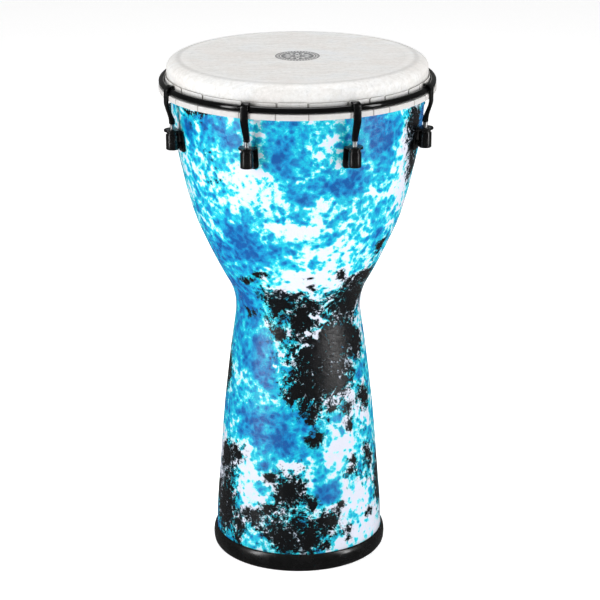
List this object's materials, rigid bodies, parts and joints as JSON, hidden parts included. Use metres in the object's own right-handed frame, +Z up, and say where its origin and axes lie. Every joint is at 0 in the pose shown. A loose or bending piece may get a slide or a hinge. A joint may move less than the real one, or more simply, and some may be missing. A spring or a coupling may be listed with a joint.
{
  "type": "djembe",
  "caption": "Goblet hand drum: dyed synthetic shell, tucked film head under a round rim, hook-and-nut tuners with rubber sleeves on shell brackets, rubber foot ring.",
  "frame": {"origin": "centre of the foot ring's underside, on the drum's axis", "axes": "+Z up along the drum's axis, towards the playing surface; -Y faces the front, midway between two tuners"},
  "size_m": [0.324, 0.324, 0.61],
  "materials": {
    "dyed_shell": "satin printed film with a fine leather grain over a moulded synthetic shell, cloudy blue, white and black dye",
    "foot_rubber": "satin black moulded rubber",
    "head_film": "off-white laminated film with fine fibre streaks, satin",
    "hoop_steel": "plain",
    "rim_steel": "black powder coat, semi-gloss",
    "hook_steel": "black powder coat, bare steel thread",
    "bracket_steel": "black powder coat, satin",
    "nut_steel": "zinc plated",
    "sleeve_rubber": "matt black",
    "bolt_steel": "black oxide, semi-gloss",
    "lock_nut_steel": "zinc plated"
  },
  "bodies": {
    "shell_body": {"shell": "dyed_shell", "foot_ring": "foot_rubber", "lug_bracket_1": "bracket_steel", "lug_bracket_2": "bracket_steel", "lug_bracket_3": "bracket_steel", "lug_bracket_4": "bracket_steel", "lug_bracket_5": "bracket_steel", "lug_bracket_6": "bracket_steel", "lug_bracket_7": "bracket_steel", "lug_bracket_8": "bracket_steel", "bracket_bolt_1": "bolt_steel", "bracket_bolt_2": "bolt_steel", "bracket_bolt_3": "bolt_steel", "bracket_bolt_4": "bolt_steel", "bracket_bolt_5": "bolt_steel", "bracket_bolt_6": "bolt_steel", "bracket_bolt_7": "bolt_steel", "bracket_bolt_8": "bolt_steel", "lock_nut_1": "lock_nut_steel", "lock_nut_2": "lock_nut_steel", "lock_nut_3": "lock_nut_steel", "lock_nut_4": "lock_nut_steel", "lock_nut_5": "lock_nut_steel", "lock_nut_6": "lock_nut_steel", "lock_nut_7": "lock_nut_steel", "lock_nut_8": "lock_nut_steel"},
    "head_assembly": {"drumhead": "head_film", "flesh_hoop": "hoop_steel", "rim": "rim_steel", "tension_hook_1": "hook_steel", "tension_hook_2": "hook_steel", "tension_hook_3": "hook_steel", "tension_hook_4": "hook_steel", "tension_hook_5": "hook_steel", "tension_hook_6": "hook_steel", "tension_hook_7": "hook_steel", "tension_hook_8": "hook_steel"},
    "tuner_1": {"tuning_nut_1": "nut_steel", "nut_cover_1": "sleeve_rubber"},
    "tuner_2": {"tuning_nut_2": "nut_steel", "nut_cover_2": "sleeve_rubber"},
    "tuner_3": {"tuning_nut_3": "nut_steel", "nut_cover_3": "sleeve_rubber"},
    "tuner_4": {"tuning_nut_4": "nut_steel", "nut_cover_4": "sleeve_rubber"},
    "tuner_5": {"tuning_nut_5": "nut_steel", "nut_cover_5": "sleeve_rubber"},
    "tuner_6": {"tuning_nut_6": "nut_steel", "nut_cover_6": "sleeve_rubber"},
    "tuner_7": {"tuning_nut_7": "nut_steel", "nut_cover_7": "sleeve_rubber"},
    "tuner_8": {"tuning_nut_8": "nut_steel", "nut_cover_8": "sleeve_rubber"}
  },
  "joints": [
    {"name": "tuner_turn_1", "type": "hinge", "parent": "shell_body", "child": "tuner_1", "pos_m": [-0.14505, -0.06008, 0.53], "axis": [0, 0, 1], "range_deg": [-3600, 0]},
    {"name": "tuner_turn_2", "type": "hinge", "parent": "shell_body", "child": "tuner_2", "pos_m": [-0.06008, -0.14505, 0.53], "axis": [0, 0, 1], "range_deg": [-3600, 0]},
    {"name": "tuner_turn_3", "type": "hinge", "parent": "shell_body", "child": "tuner_3", "pos_m": [0.06008, -0.14505, 0.53], "axis": [0, 0, 1], "range_deg": [-3600, 0]},
    {"name": "tuner_turn_4", "type": "hinge", "parent": "shell_body", "child": "tuner_4", "pos_m": [0.14505, -0.06008, 0.53], "axis": [0, 0, 1], "range_deg": [-3600, 0]},
    {"name": "tuner_turn_5", "type": "hinge", "parent": "shell_body", "child": "tuner_5", "pos_m": [0.14505, 0.06008, 0.53], "axis": [0, 0, 1], "range_deg": [-3600, 0]},
    {"name": "tuner_turn_6", "type": "hinge", "parent": "shell_body", "child": "tuner_6", "pos_m": [0.06008, 0.14505, 0.53], "axis": [0, 0, 1], "range_deg": [-3600, 0]},
    {"name": "tuner_turn_7", "type": "hinge", "parent": "shell_body", "child": "tuner_7", "pos_m": [-0.06008, 0.14505, 0.53], "axis": [0, 0, 1], "range_deg": [-3600, 0]},
    {"name": "tuner_turn_8", "type": "hinge", "parent": "shell_body", "child": "tuner_8", "pos_m": [-0.14505, 0.06008, 0.53], "axis": [0, 0, 1], "range_deg": [-3600, 0]},
    {"name": "head_slide", "type": "slide", "parent": "shell_body", "child": "head_assembly", "axis": [0, 0, 1], "range_m": [0, 0.01]}
  ],
  "couplings": [
    {"joint": "tuner_turn_1", "follows": "head_slide", "rad_per_m": -6283.2},
    {"joint": "tuner_turn_2", "follows": "head_slide", "rad_per_m": -6283.2},
    {"joint": "tuner_turn_3", "follows": "head_slide", "rad_per_m": -6283.2},
    {"joint": "tuner_turn_4", "follows": "head_slide", "rad_per_m": -6283.2},
    {"joint": "tuner_turn_5", "follows": "head_slide", "rad_per_m": -6283.2},
    {"joint": "tuner_turn_6", "follows": "head_slide", "rad_per_m": -6283.2},
    {"joint": "tuner_turn_7", "follows": "head_slide", "rad_per_m": -6283.2},
    {"joint": "tuner_turn_8", "follows": "head_slide", "rad_per_m": -6283.2}
  ]
}
